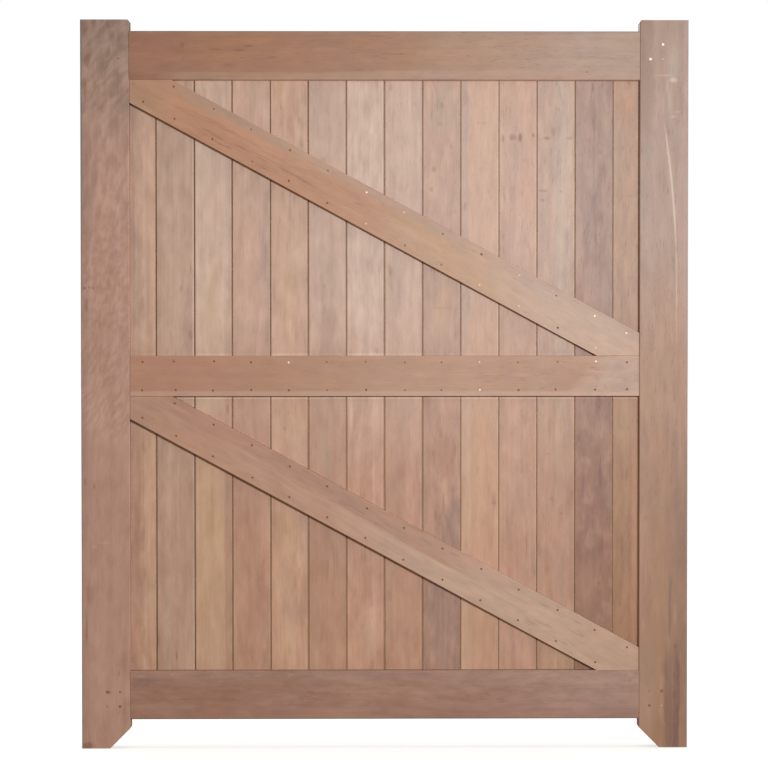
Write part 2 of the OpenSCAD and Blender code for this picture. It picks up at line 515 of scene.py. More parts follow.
    def blisters(self, wide, long, lean):
        """Blister figure: +1 on the dark islands, -1 between them."""
        inputs = {"Vector": self.leaning(wide, long, lean, 1.0), "Scale": 1.0, "Smoothness": 0.5}
        settings = {"voronoi_dimensions": "2D", "feature": "SMOOTH_F1"}
        islands = self.node("TexVoronoi", inputs, **settings).outputs["Distance"]
        return self.remap(islands, 0.72, 0.18, -1.0, 1.0)

    def ripples(self, wide, long, lean):
        """Soft wavy figure, from -1 to +1."""
        return self.remap(self.noise(self.leaning(wide, long, lean, 0.8), 2), 0.34, 0.66, -1.0, 1.0)

    def finish(self):
        """Closes the material and puts it on its CAD node."""
        self.close(self.colour, self.gloss, self.relief, RELIEF, RELIEF_STRENGTH)
        materials = NODES[self.owner].data.materials
        materials.clear()
        materials.append(self.material)
        return self.material


# ---------------- boards

# Each board from the closing side: main tone, second tone, painted sheen on its upper bay, figure
BOARD_TONES = [
    (TAN, (412, 226, 138), 0.18, 1.15), (ASH, ASH, 0.2, 1.05), (STRAW, TAN, 0.5, 0.8),
    (CLAY, ROSE, 0.3, 1.0), (PEACH, TAN, 0.18, 1.1), (CLAY, CLAY, 0.4, 1.0),
    (ROSE, ROSE, 0.58, 1.25), (ROSE, CLAY, 0.46, 1.0), (PLUM, CLAY, 0.24, 1.25),
    (PEACH, (440, 232, 132), 0.24, 0.8), (CLAY, ROSE, 0.2, 1.05), ((362, 185, 112), CLAY, 0.3, 1.15),
    (DAMSON, DAMSON, 0.24, 1.2), (UMBER, UMBER, 0.2, 1.2),
]
# Heights over which the painted sheen of the upper bay grows in
PAINTED_SHEEN_FROM = LEDGE_LOW.z - 0.25
PAINTED_SHEEN_TO = LEDGE_HIGH.z + 0.2

# Upright strips on some boards: from and to, in mm from the board's middle, tone, and percent in
# the lower bay and in the upper bay
BOARD_STRIPS = {
    1: [(-33, -6, (342, 176, 114), 55, 0), (-21, -6, MIST, 0, 30), (-33, -19, (330, 185, 124), 0, 70),
        (1, 10, CREAM, 12, 22)],
    3: [(24, 41, RUSSET, 48, 8)],
    4: [(26, 41, MIST, 0, 25)],
    7: [(12, 20, CREAM, 15, 10)],
    10: [(-50, -31, MIST, 0, 50), (-50, -25, (490, 340, 225), 20, 0)],
    12: [(-4, 24, LICHEN, 5, 34), (-50, -32, MAUVE, 0, 30)],
    14: [(12, 22, AMBER, 45, 10)],
}

# Patches on each board, in mm: place from its middle, height, width, length; then tone, percent
BOARD_STAINS = {
    1: [(15, 560, 18, 600, HONEY, 30), (9, 1000, 30, 160, PEACH, 35)],
    2: [(33, 1080, 40, 300, MAUVE, 55), (-6, 1430, 50, 120, OLIVE, 35), (13, 385, 26, 30, AMBER, 25),
        (44, 640, 16, 420, MAUVE, 55), (-25, 270, 30, 300, OLIVE, 40)],
    3: [(38, 1120, 30, 400, RUSSET, 25), (-12, 560, 70, 600, HONEY, 45), (-2, 1100, 70, 360, HONEY, 30),
        (8, 1380, 30, 340, BLUSH, 20), (0, 1610, 120, 160, ASH, 40)],
    4: [(23, 1220, 30, 200, MAUVE, 35), (39, 1020, 20, 200, MAUVE, 35), (15, 300, 60, 360, RUSSET, 22),
        (37, 1370, 20, 60, MAUVE, 30)],
    5: [(26, 1580, 30, 120, OLIVE, 50), (24, 1502, 22, 50, OLIVE, 50), (-28, 1620, 30, 90, HONEY, 45),
        (-8, 1130, 60, 200, HONEY, 35), (6, 1020, 30, 120, AMBER, 22), (-4, 810, 40, 130, AMBER, 22),
        (-10, 540, 50, 180, HONEY, 65), (36, 560, 26, 280, MAUVE, 50), (-10, 260, 50, 160, HONEY, 45),
        (32, 380, 30, 200, CLAY, 45), (0, 1600, 110, 160, CLAY, 25)],
    6: [(-29, 1600, 40, 120, OLIVE, 35), (-9, 1020, 80, 200, RUSSET, 22), (-9, 730, 50, 160, OLIVE, 40),
        (17, 300, 60, 300, AMBER, 22), (11, 560, 70, 200, MAUVE, 25)],
    7: [(25, 1620, 14, 120, STRAW, 45), (-29, 1005, 40, 50, STRAW, 40), (9, 1205, 26, 80, MAUVE, 28),
        (-40, 830, 14, 120, CREAM, 30), (9, 660, 18, 130, AMBER, 35), (26, 800, 14, 180, CREAM, 22),
        (1, 270, 40, 160, OLIVE, 30)],
    8: [(25, 1525, 18, 160, OLIVE, 30), (-36, 1160, 22, 100, MAUVE, 45), (-26, 350, 14, 200, HONEY, 40),
        (29, 600, 30, 400, RUSSET, 30), (34, 250, 24, 160, AMBER, 25)],
    9: [(-1, 1585, 90, 160, OLIVE, 60), (-31, 1610, 14, 130, BLUSH, 40), (15, 1410, 60, 130, BLUSH, 40),
        (-1, 1110, 80, 260, HONEY, 34), (9, 850, 80, 80, BLUSH, 50), (2, 720, 90, 200, EMBER, 32),
        (30, 550, 54, 240, DUSK, 65), (-10, 470, 80, 220, DUSK, 40),
        (2, 300, 160, 600, (270, 150, 108), 60)],
    10: [(8, 1590, 60, 200, HONEY, 20), (8, 1400, 40, 160, PEACH, 20), (2, 770, 14, 90, AMBER, 40),
        (32, 600, 14, 100, RUSSET, 30), (8, 330, 60, 360, HONEY, 25), (18, 850, 30, 100, BLUSH, 30),
        (8, 660, 40, 200, PEACH, 30)],
    11: [(-33, 1600, 30, 100, HONEY, 35), (33, 1560, 16, 400, BLUSH, 40), (17, 1360, 40, 200, AMBER, 20),
        (7, 250, 80, 180, BLUSH, 40), (-15, 1070, 40, 160, MAUVE, 28), (-3, 620, 80, 200, MAUVE, 20)],
    12: [(-10, 1560, 110, 260, MAUVE, 35), (30, 1450, 22, 300, CREAM, 20), (-10, 800, 80, 240, HONEY, 30),
        (-4, 540, 90, 200, AMBER, 22), (-4, 210, 90, 160, HONEY, 45)],
    13: [(26, 1552, 30, 60, OLIVE, 40), (-10, 1395, 36, 50, OLIVE, 35), (-38, 1136, 18, 70, RUSSET, 55),
        (18, 790, 44, 70, CLAY, 45), (-24, 712, 30, 24, CLAY, 45), (26, 680, 18, 60, CLAY, 40),
        (-22, 612, 34, 26, CLAY, 40), (-20, 395, 60, 180, CLAY, 40),
        (0, 280, 110, 200, (270, 150, 90), 45), (14, 1230, 26, 200, RUSSET, 50),
        (-40, 1030, 22, 90, RUSSET, 50)],
    14: [(-1, 1590, 60, 100, AMBER, 35), (3, 1420, 60, 340, PEACH, 30), (-31, 1480, 16, 320, OLIVE, 40),
        (17, 520, 16, 300, AMBER, 45), (-11, 800, 60, 200, HONEY, 25), (-1, 340, 70, 240, AMBER, 30)],
}

# Dark specks, and pale ones below zero, in mm: place from its middle, height, width, length; then
# percent
BOARD_SPECKS = {
    1: [(-1, 1440, 8, 60, 10), (1, 620, 10, 500, 10), (21, 1330, 6, 80, -8)],
    2: [(34, 1190, 6, 60, 24), (9, 1139, 16, 24, 14), (9, 1370, 30, 60, 12), (34, 1024, 18, 28, 18),
        (-2, 225, 5, 30, 30), (-4, 1070, 7, 60, -10), (2, 1045, 7, 50, -10), (30, 1425, 12, 100, -10)],
    3: [(46, 1600, 6, 200, 22), (46, 1215, 8, 18, 28), (44, 560, 5, 260, 30), (31, 838, 7, 34, 26),
        (46, 460, 6, 100, -22), (16, 1600, 40, 80, -5)],
    4: [(-19, 1420, 10, 100, -10), (-9, 1245, 8, 60, -10), (23, 1560, 8, 100, 12), (37, 1600, 8, 80, 12),
        (-7, 1330, 6, 50, 10), (13, 700, 10, 90, 8)],
    5: [(36, 1610, 8, 70, 16), (20, 1555, 16, 26, 14), (26, 1500, 14, 40, 16), (-2, 1340, 10, 130, 14),
        (-24, 1586, 8, 14, 12), (20, 440, 6, 50, 14), (-16, 790, 10, 16, 14), (-2, 1045, 6, 70, -10)],
    6: [(-11, 1145, 14, 16, 14), (-13, 1455, 12, 34, 12), (-3, 455, 5, 60, 20), (11, 450, 4, 50, 18),
        (-29, 1520, 6, 60, 10), (31, 1130, 6, 100, 10)],
    7: [(25, 985, 14, 22, 20), (-7, 1440, 5, 100, 10), (30, 1140, 4, 240, 16), (-5, 500, 10, 120, 12),
        (18, 730, 12, 60, 10), (-37, 1190, 4, 40, 12)],
    8: [(5, 1610, 4, 130, 20), (11, 1600, 6, 120, -12), (-36, 1636, 18, 34, 16), (-38, 1185, 12, 40, 18),
        (2, 1450, 6, 30, 12), (11, 1450, 6, 30, 10), (-30, 1550, 8, 80, 8), (-33, 1130, 10, 50, 10)],
    9: [(-1, 1592, 14, 20, 24), (-7, 1546, 22, 22, 20), (-23, 1433, 14, 20, 28), (-29, 1383, 14, 20, 30),
        (-15, 1600, 5, 150, 16), (-27, 1600, 4, 140, 14), (-35, 1580, 4, 120, -10), (31, 1376, 6, 20, 20),
        (19, 1490, 10, 14, 16), (-7, 1090, 50, 8, 12), (1, 610, 8, 90, 22), (-21, 580, 14, 50, 14),
        (-1, 350, 8, 160, 16), (-11, 682, 10, 14, 14)],
    10: [(-40, 1340, 14, 34, 20), (-38, 1620, 18, 70, 14), (-2, 1549, 34, 5, 16), (-2, 1520, 4, 100, 8),
        (2, 1430, 16, 30, 10), (-8, 690, 14, 30, 12), (20, 640, 10, 50, 12), (32, 606, 14, 10, 18),
        (32, 270, 5, 110, 16), (24, 1010, 20, 50, 12)],
    11: [(-40, 1512, 12, 32, 42), (-17, 1513, 26, 24, 42), (2, 1515, 13, 34, 62), (35, 1518, 12, 14, 30),
        (-39, 1370, 6, 30, 22), (-23, 1565, 5, 60, 10), (27, 500, 7, 220, -14), (19, 520, 4, 200, 24),
        (-17, 600, 6, 120, 12), (7, 700, 8, 80, 10)],
    12: [(-26, 1511, 34, 12, 34), (-10, 1526, 12, 30, 24), (28, 1511, 22, 10, 24), (0, 1583, 10, 16, 16),
        (-36, 1381, 36, 10, 32), (10, 1379, 16, 10, 24), (-36, 1357, 18, 14, 30), (20, 1458, 5, 30, 14),
        (-22, 728, 26, 8, 18), (-12, 617, 8, 14, 22), (10, 580, 18, 7, 16), (-20, 780, 6, 100, 12),
        (6, 1030, 34, 50, 12), (26, 1300, 20, 40, -14)],
    13: [(-6, 1638, 10, 40, 24), (17, 1644, 14, 40, 28), (-4, 1560, 12, 120, 18), (13, 1477, 14, 22, 20),
        (17, 1430, 24, 50, 16), (2, 1300, 10, 240, 18), (15, 1270, 14, 160, 16), (-4, 1420, 8, 200, 12),
        (-21, 1590, 20, 50, -8), (-34, 1500, 20, 100, -8), (-34, 1250, 24, 200, -12),
        (8, 850, 18, 60, 26), (-22, 781, 26, 40, 16), (6, 735, 20, 36, 18), (13, 672, 14, 70, 26),
        (17, 500, 26, 70, 26), (-30, 660, 8, 70, 14), (11, 406, 10, 18, 28), (-38, 470, 16, 60, 14),
        (-4, 560, 14, 90, 12)],
    14: [(-1, 1652, 40, 16, 20), (-5, 1622, 26, 30, -10), (-5, 1480, 4, 130, 16), (-17, 1395, 4, 140, 14),
        (7, 1368, 30, 6, 14), (-1, 680, 5, 60, 22), (-5, 1300, 5, 200, 10), (5, 520, 5, 200, 10)],
}

# Painted highlight along each board's arris on the side towards the hinges, in percent, how wide the
# highlighted strip is, and how much of it is left in the lower bay
ARRIS_HIGHLIGHTS = {2: 75, 3: 40, 4: 25, 5: 65, 6: 30, 7: 35, 8: 30, 9: 20, 10: 30, 11: 15, 12: 12}
ARRIS_HIGHLIGHT_WIDTH = 0.003
ARRIS_BELOW = 0.45
# How wide the painted shade is along each joint in mm, on the board before it and on the board after it
JOINT_SHADE_WIDTHS = {1: (1.1, 1.2), 2: (0.3, 2.2), 3: (1.8, 0.4), 4: (0.8, 1.0), 5: (2.4, 0), 6: (1.8, 0),
              7: (2.0, 0), 8: (1.8, 0), 9: (1.4, 0), 11: (0, 0.8), 12: (0, 1.2)}
NO_JOINT_SHADE = (0, 0)
# How far in from a board's face its wall in the joint shows
JOINT_INSIDE = 0.0005
JOINT_TINT = 0.9
# Painted light on the boards in a thin strip under the ledge, where its shadow falls, and painted light
# reflected from the ledge's top in a strip over it
LEDGE_SHADOW_LIFT = 0.45
SHADOW_LIFT_DROP = 0.0025
SHADOW_LIFT_REACH = 0.005
LEDGE_REFLECTION = {3: 0.16, 5: 0.2, 7: 0.2, 8: 0.16}
FAINT_REFLECTION = 0.06
REFLECTION_RISE = 0.003
REFLECTION_REACH = 0.004
TONGUE = 0.007
HOUSING = 0.01
SPALTED_BOARD = 13


def board_face(number, name):
    """Where a board's face starts and ends along the leaf, between its housing and its tongue."""
    low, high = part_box(name)
    start = low.x + (HOUSING if number == 1 else 0.0)
    end = high.x - (HOUSING if number == len(BOARDS) else TONGUE)
    return start, end


def spalt(wood):
    """Pale and dark patches left by rot, the pale ones below the ledge."""
    pale = wood.patches((34, 17), 0.46, 0.64)
    wood.tint((335, 170, 102), 0.55, pale, wood.rise(LEDGE_LOW.z, LEDGE_LOW.z - 0.1))
    wood.tint((220, 90, 60), 0.4, wood.patches((36, 9), 0.5, 0.66))


def shaded_joint(wood, reach, face_end, inward):
    """Painted shade on the face beside a joint, which widens the joint's dark line."""
    if reach:
        outer = face_end + inward * 0.8 * reach
        wood.tint(JOINT_SHADE_TONE, JOINT_TINT, wood.run(face_end + inward * (1.2 * reach + JOINT_INSIDE), outer))


def lit_joint_wall(wood, face_end, inward):
    """Painted light on the wall inside a joint, which lifts the shade there."""
    inner = face_end + inward * 1.2 * JOINT_INSIDE
    wood.tint(JOINT_WALL_LIGHT_TONE, JOINT_TINT, wood.run(inner, face_end + inward * 0.6 * JOINT_INSIDE))


def finish_board(number, name):
    main, second, painted_sheen, figure = BOARD_TONES[number - 1]
    wood = Timber(name, main, second, seed=number, figure=figure)
    upper_bay = wood.rise(PAINTED_SHEEN_FROM, PAINTED_SHEEN_TO)
    # Painted sheen: the upper bay is turned paler, standing in for the light's sheen on it
    wood.tint(PALE, painted_sheen, upper_bay)
    centre = middle(name).x
    for first, last, tone, low_percent, high_percent in BOARD_STRIPS.get(number, []):
        strip = wood.stripe(centre + first / 1000, centre + last / 1000)
        more = (high_percent - low_percent) / 100
        wood.tint(tone, 1.0, strip, wood.math("MULTIPLY_ADD", upper_bay, more, low_percent / 100))
    if number == SPALTED_BOARD:
        spalt(wood)
    wood.mark(BOARD_STAINS[number], BOARD_SPECKS[number], centre)

    start, end = board_face(number, name)
    # Painted highlight along the arris towards the hinges, stronger in the upper bay
    strip = wood.run(end - 1.3 * ARRIS_HIGHLIGHT_WIDTH, end - 0.7 * ARRIS_HIGHLIGHT_WIDTH)
    lit = wood.math("MULTIPLY_ADD", upper_bay, 1 - ARRIS_BELOW, ARRIS_BELOW)
    wood.tint(CREAM, ARRIS_HIGHLIGHTS.get(number, 0) / 100, strip, lit)
    # Painted shade beside the joints
    shaded_joint(wood, JOINT_SHADE_WIDTHS.get(number, NO_JOINT_SHADE)[0] / 1000, end, -1)
    shaded_joint(wood, JOINT_SHADE_WIDTHS.get(number - 1, NO_JOINT_SHADE)[1] / 1000, start, 1)
    # Painted light on the walls inside the joints
    if number > 1:
        lit_joint_wall(wood, start, 1)
    if number < len(BOARDS):
        lit_joint_wall(wood, end, -1)
    # Painted light under the ledge over its shadow, and painted reflected light over the ledge
    wood.deepen(-LEDGE_SHADOW_LIFT, wood.level(LEDGE_LOW.z - SHADOW_LIFT_DROP, SHADOW_LIFT_REACH))
    line = wood.level(LEDGE_HIGH.z + REFLECTION_RISE, REFLECTION_REACH)
    wood.deepen(-LEDGE_REFLECTION.get(number, FAINT_REFLECTION), line)
    wood.finish()


# ---------------- frame, ledge and braces

# Patches on each piece, in mm: place along the leaf, height, width, length; then tone, percent
FRAME_STAINS = {
    "closing_stile": [(-1480, 1465, 22, 80, RUSSET, 50), (-1493, 1235, 10, 100, AMBER, 45),
        (-1460, 1000, 20, 110, MAUVE, 25), (-1494, 800, 10, 500, (370, 190, 140), 45),
        (-1494, 130, 10, 300, (370, 190, 140), 35), (-1440, 300, 20, 50, MAUVE, 20),
        (-1400, 440, 30, 300, (400, 220, 146), 25)],
    "hanging_stile": [(-36, 1700, 44, 150, SMEAR, 60), (-45, 1600, 20, 150, SMEAR, 45),
        (-16, 1300, 28, 500, MAUVE, 35), (-94, 1210, 20, 90, MAUVE, 25), (-20, 1060, 12, 120, MAUVE, 30),
        (-68, 1015, 30, 120, PEACH, 25), (-30, 330, 12, 90, MAUVE, 35), (-104, 440, 8, 100, MAUVE, 35),
        (-20, 760, 18, 260, BLUSH, 25), (-70, 860, 30, 100, BLUSH, 20),
        (-95, 130, 70, 340, (325, 190, 126), 50), (-98, 1610, 44, 240, (285, 155, 94), 40)],
    "top_rail": [(-1250, 1690, 50, 60, RUSSET, 20), (-900, 1727, 14, 100, AMBER, 22),
        (-360, 1690, 14, 300, MAUVE, 16)],
    "bottom_rail": [(-930, 140, 40, 80, RUSSET, 20), (-1300, 130, 30, 160, RUSSET, 25),
        (-1150, 100, 30, 260, EMBER, 20), (-400, 141, 20, 140, RUSSET, 15),
        (-1345, 166, 34, 90, (190, 105, 75), 45)],
    "middle_ledge": [(-1180, 925, 50, 80, RUSSET, 14), (-840, 905, 6, 200, RUSSET, 20),
        (-930, 890, 5, 160, RUSSET, 16), (-320, 910, 40, 100, RUSSET, 25), (-410, 925, 14, 60, HONEY, 30),
        (-660, 925, 14, 80, HONEY, 25), (-460, 905, 30, 160, AMBER, 16)],
    "upper_brace": [(-1370, 1595, 14, 30, OLIVE, 40), (-1335, 1578, 14, 60, OLIVE, 45),
        (-905, 1430, 14, 60, OLIVE, 45), (-700, 1280, 40, 200, HONEY, 30),
        (-1280, 1590, 30, 60, AMBER, 30)],
    "lower_brace": [(-1255, 838, 12, 120, BLUSH, 30), (-1190, 836, 20, 140, AMBER, 22),
        (-500, 440, 30, 180, BLUSH, 15), (-240, 245, 40, 90, HONEY, 22), (-560, 450, 20, 260, OLIVE, 20),
        (-420, 360, 20, 200, OLIVE, 20)],
}

# Dark specks, and pale ones below zero, in mm: place along the leaf, height, width, length; then
# percent
FRAME_SPECKS = {
    "closing_stile": [(-1490, 1139, 10, 10, 50), (-1480, 1141, 8, 8, 45), (-1470, 1139, 12, 8, 35),
        (-1486, 1100, 12, 50, 26), (-1490, 665, 10, 36, 32), (-1468, 650, 8, 24, 26),
        (-1484, 390, 30, 90, 22), (-1488, 300, 8, 150, 34), (-1484, 6, 50, 26, 36),
        (-1408, 186, 8, 22, 24), (-1488, 1775, 26, 60, 36), (-1467, 1791, 14, 30, 26),
        (-1432, 1788, 12, 22, 24), (-1422, 1758, 18, 40, 24), (-1430, 1721, 22, 32, 18),
        (-1484, 1699, 28, 50, 34), (-1487, 1625, 16, 70, 28), (-1464, 1640, 16, 30, 15),
        (-1408, 1660, 12, 30, 12), (-1440, 1610, 50, 130, 9), (-1393, 95, 34, 90, 20),
        (-1398, 190, 44, 150, 9), (-1440, 510, 40, 12, -12), (-1470, 500, 16, 16, -12),
        (-1432.5, 139, 14, 14, 40)],
    "hanging_stile": [(-62, 1664, 60, 10, -22), (-36, 1652, 50, 18, -36), (-37, 1652, 24, 20, -25),
        (-52, 1636, 12, 40, -22), (-36, 1562, 20, 8, -26), (-26, 1574, 20, 8, -24),
        (-63, 1590, 8, 80, -14), (-48, 1600, 8, 110, -12), (-29, 251, 14, 14, 20),
        (-62, 1250, 44, 240, -7), (-58, 195, 20, 60, 14), (-104, 570, 10, 24, 18), (-90, 1000, 30, 80, 6),
        (-40, 1480, 30, 12, 8)],
    "top_rail": [(-1085, 1735, 6, 26, 36), (-1105, 1725, 5, 50, 30), (-1170, 1727, 6, 40, 26),
        (-1102, 1706, 5, 28, 30), (-1249, 1735, 24, 14, 18), (-1247, 1702, 18, 14, 26),
        (-1022, 1708, 5, 40, 30), (-714, 1716, 5, 110, 18), (-735, 1740, 5, 80, 10),
        (-251, 1672, 6, 7, 40), (-265, 1724, 4, 60, -10), (-160, 1717, 5, 60, -12),
        (-570, 1724, 4, 50, -10), (-446, 1728, 4, 70, 8), (-620, 1700, 5, 90, 8),
        (-330, 1744, 6, 120, 6)],
    "bottom_rail": [(-1350, 180, 8, 26, -20), (-1275, 181, 7, 18, -22), (-1178, 178, 7, 14, -24),
        (-1065, 180, 8, 20, -18), (-985, 182, 8, 26, -16), (-142, 182, 10, 18, -22),
        (-935, 140, 12, 24, 16), (-940, 132, 7, 14, -14), (-840, 132, 6, 10, 26), (-550, 163, 14, 60, 10),
        (-545, 130, 10, 20, 16), (-345, 125, 10, 40, 12), (-142, 166, 10, 14, 20),
        (-700, 150, 5, 90, -10), (-230, 146, 10, 120, 10), (-1180, 145, 4, 120, 12)],
    "middle_ledge": [(-225, 915, 16, 16, 14), (-205, 895, 20, 14, 12), (-170, 910, 20, 24, -8),
        (-690, 925, 8, 50, 8)],
    "upper_brace": [(-1165, 1512, 5, 80, 30), (-1148, 1490, 5, 70, 32), (-1175, 1522, 4, 60, 30),
        (-1135, 1486, 8, 30, 30), (-1195, 1530, 5, 30, 34), (-1090, 1478, 5, 70, 28),
        (-1050, 1455, 5, 60, 26), (-975, 1418, 6, 110, 32), (-1000, 1440, 5, 40, 14),
        (-812, 1346, 5, 30, 20), (-745, 1305, 6, 30, 22), (-1370, 1640, 10, 14, 14),
        (-1215, 1535, 6, 80, 12), (-680, 1250, 6, 14, 12), (-250, 1060, 30, 160, -6),
        (-420, 1120, 10, 120, -6), (-330, 1140, 12, 50, 8), (-350, 1128, 8, 40, -8)],
    "lower_brace": [(-390, 312, 10, 50, 16), (-345, 302, 8, 40, 16), (-330, 285, 7, 40, 14),
        (-420, 370, 5, 110, 12), (-215, 318, 10, 30, 16), (-180, 290, 5, 30, 14), (-1200, 835, 6, 80, 16),
        (-1175, 820, 5, 60, 14), (-1060, 742, 7, 90, -10), (-600, 500, 6, 140, -6),
        (-490, 385, 7, 160, 8), (-540, 470, 6, 120, 8)],
}

# The scratch: how far from the hinge side it starts, the height up to which it is straight, and
# how far it bends over in the next climb
SCRATCH_FROM_EDGE = 0.0285
SCRATCH_STRAIGHT = 1.15
SCRATCH_CLIMB = 0.38
SCRATCH_BEND = 0.029
JOINT_LINE = 0.0022


def mark_frame(wood):
    wood.mark(FRAME_STAINS[wood.owner], FRAME_SPECKS[wood.owner])


def close_joints(wood):
    """A dark line where a piece ends against the stiles."""
    for end, inward in ((LEDGE_LOW.x, 1), (LEDGE_HIGH.x, -1)):
        wood.deepen(0.5, wood.run(end + inward * JOINT_LINE, end + inward * 0.4 * JOINT_LINE))


def wavy_figure(wood):
    """Large leaning islands at the head, upright ripples below, fine strokes by the ledge."""
    head = wood.rise(1.5, 1.6)
    large = wood.ripples(0.034, 0.07, -0.65)
    wood.deepen(0.14, large, head)
    wood.tint((205, 142, 102), 0.35, wood.remap(large, 0.0, 0.9), head)
    wood.deepen(0.09, wood.ripples(0.014, 0.05, -0.75), head)
    body = wood.both(wood.rise(1.26, 1.34), wood.rise(1.6, 1.5))
    upright = wood.ripples(0.018, 0.05, -0.1)
    wood.deepen(0.11, upright, body)
    wood.tint((275, 180, 130), 0.25, wood.remap(upright, 0.1, 0.9), body)
    waist = wood.both(wood.rise(1.0, 1.06), wood.rise(1.34, 1.26))
    small = wood.ripples(0.013, 0.022, -0.3)
    wood.deepen(0.095, small, waist)
    strokes = wood.both(wood.rise(0.74, 0.8), wood.rise(1.04, 0.98))
    wood.deepen(0.1, wood.ripples(0.011, 0.04, -0.55), strokes)
    for figure in (large, upright, small):
        wood.relief = wood.math("MULTIPLY_ADD", figure, -0.3, wood.relief)


def finish_closing_stile():
    wood = Timber("closing_stile", (388, 213, 148), (374, 201, 139), seed=32, figure=0.8)
    wood.tint((252, 153, 107), 0.95, wood.rise(1.4, 1.8))
    wood.tint((272, 152, 110), 0.6, wood.side(-0.3, -1.0))
    wavy_figure(wood)
    mark_frame(wood)
    wood.tint((140, 115, 105), 0.65, wood.edge(-0.88, -0.97), wood.rise(1.05, 1.5))
    wood.tint((190, 175, 150), 0.4, wood.edge(-0.955, -0.985))
    # Painted shade on the inner arris, which damps the light it catches from the side
    wood.deepen(0.1, wood.edge(0.955, 0.98))
    return wood.finish()


def scratch(wood):
    """The long curved scratch below the head, in a paler halo."""
    straight = -SCRATCH_STRAIGHT / SCRATCH_CLIMB
    climb = wood.math("MULTIPLY_ADD", wood.world_z, 1 / SCRATCH_CLIMB, straight)
    climb = wood.math("MAXIMUM", climb, 0.0)
    bow = wood.math("MULTIPLY", wood.math("MULTIPLY", climb, climb), SCRATCH_BEND)
    aside = wood.math("ADD", wood.math("ADD", wood.world_x, SCRATCH_FROM_EDGE), bow)
    aside = wood.math("ABSOLUTE", aside)
    line = wood.remap(aside, 0.0034, 0.0008)
    line = wood.both(line, wood.rise(0.95, 1.2), wood.rise(1.56, 1.51), wood.front)
    wood.deepen(-0.6, line, wood.remap(wood.mottle, 0.3, 0.5, 0.6, 1.0))
    halo = wood.remap(aside, 0.012, 0.001)
    wood.deepen(-0.1, halo, wood.rise(1.2, 1.34), wood.rise(1.56, 1.46), wood.front)


def finish_hanging_stile():
    wood = Timber("hanging_stile", (318, 164, 88), (322, 168, 92), seed=31, figure=0.8)
    wood.tint((310, 187, 131), 0.95, wood.rise(0.98, 1.36))
    inner = wood.side(-0.25, -0.75)
    wood.tint((228, 112, 62), 0.75, inner, wood.rise(1.3, 1.7))
    low = wood.rise(0.9, 0.62)
    wood.tint((288, 142, 72), 0.85, low)
    wood.tint((328, 170, 98), 0.8, inner, low)
    wood.tint((215, 108, 62), 0.6, wood.side(0.15, 0.6), low)
    wood.deepen(0.05, wood.blisters(0.022, 0.15, 0.05))
    scratch(wood)
    mark_frame(wood)
    wood.tint((360, 215, 172), 0.45, wood.edge(0.72, 0.86), wood.rise(0.7, 1.2))
    wood.tint(DUSK, 0.35, wood.edge(-0.88, -0.99), wood.rise(1.3, 1.6))
    wood.tint((190, 165, 165), 0.5, wood.edge(0.94, 0.985))
    foot = wood.both(wood.rise(0.27, 0.19), wood.remap(wood.mottle, 0.34, 0.56, 0.55, 1.0))
    wood.tint((150, 70, 45), 0.6, wood.stripe(-0.056, -0.038), foot)
    wood.tint((120, 52, 35), 0.75, wood.stripe(-0.036, -0.019), foot)
    shake = wood.stripe(-0.047, -0.04, 0.0015)
    wood.tint(BARK, 0.6, shake, wood.rise(0.46, 0.38), wood.rise(0.26, 0.3))
    # Painted light on the inner side face, which lifts its shade
    wood.deepen(-0.2, wood.edge(-0.994, -0.998))
    return wood.finish()


def finish_top_rail():
    wood = Timber("top_rail", (278, 115, 49), (288, 118, 46), seed=33, turn=LEVEL, figure=0.85)
    wood.tint((322, 195, 128), 0.95, wood.run(-0.7, -0.22))
    wood.tint((305, 158, 82), 0.65, wood.run(-0.72, -0.6), wood.run(-0.28, -0.42))
    wood.tint((245, 102, 54), 0.7, wood.run(-1.16, -1.36))
    wood.tint((330, 180, 108), 0.7, wood.side(0.58, 0.72), wood.run(-1.34, -1.22))
    wood.tint((240, 134, 96), 0.5, wood.edge(-0.84, -0.97))
    # Painted light on the lower arris, which lifts its shade
    wood.deepen(-0.4, wood.edge(0.97, 0.985))
    # Painted light on the underside near the boards, which lifts its shade
    wood.deepen(-0.8, wood.edge(0.985, 0.995), wood.remap(wood.inwards, -0.019, -0.013))
    level = wood.both(wood.edge(0.6, 0.45), wood.edge(-0.85, -0.6))
    flecked = wood.both(level, wood.run(-1.2, -1.1), wood.run(-0.7, -0.8))
    wood.flecks((150, 18), EMBER, 0.35, 0.63, flecked)
    mark_frame(wood)
    wood.finish()


def finish_bottom_rail():
    wood = Timber("bottom_rail", (276, 132, 83), (296, 150, 96), seed=34, turn=LEVEL)
    wood.tint((300, 170, 126), 0.85, wood.run(-0.55, -0.2))
    wood.tint((320, 182, 130), 0.55, wood.side(-0.25, -0.85))
    wood.tint((262, 122, 76), 0.5, wood.side(0.3, 0.85))
    wood.deepen(0.08, wood.patches((90, 34), 0.52, 0.6), wood.edge(0.55, 0.3))
    left_half = wood.run(-0.6, -0.9)
    wood.vein(-0.1, 0.01, 0.05, RUSSET, 0.4, left_half)
    wood.vein(0.3, 0.007, 0.04, BARK, 0.2, left_half)
    mark_frame(wood)
    wood.tint((125, 105, 95), 0.6, wood.edge(0.92, 0.98))
    # Painted light on the top arris, which lifts its shade
    wood.deepen(-0.25, wood.edge(-0.97, -0.985))
    wood.finish()


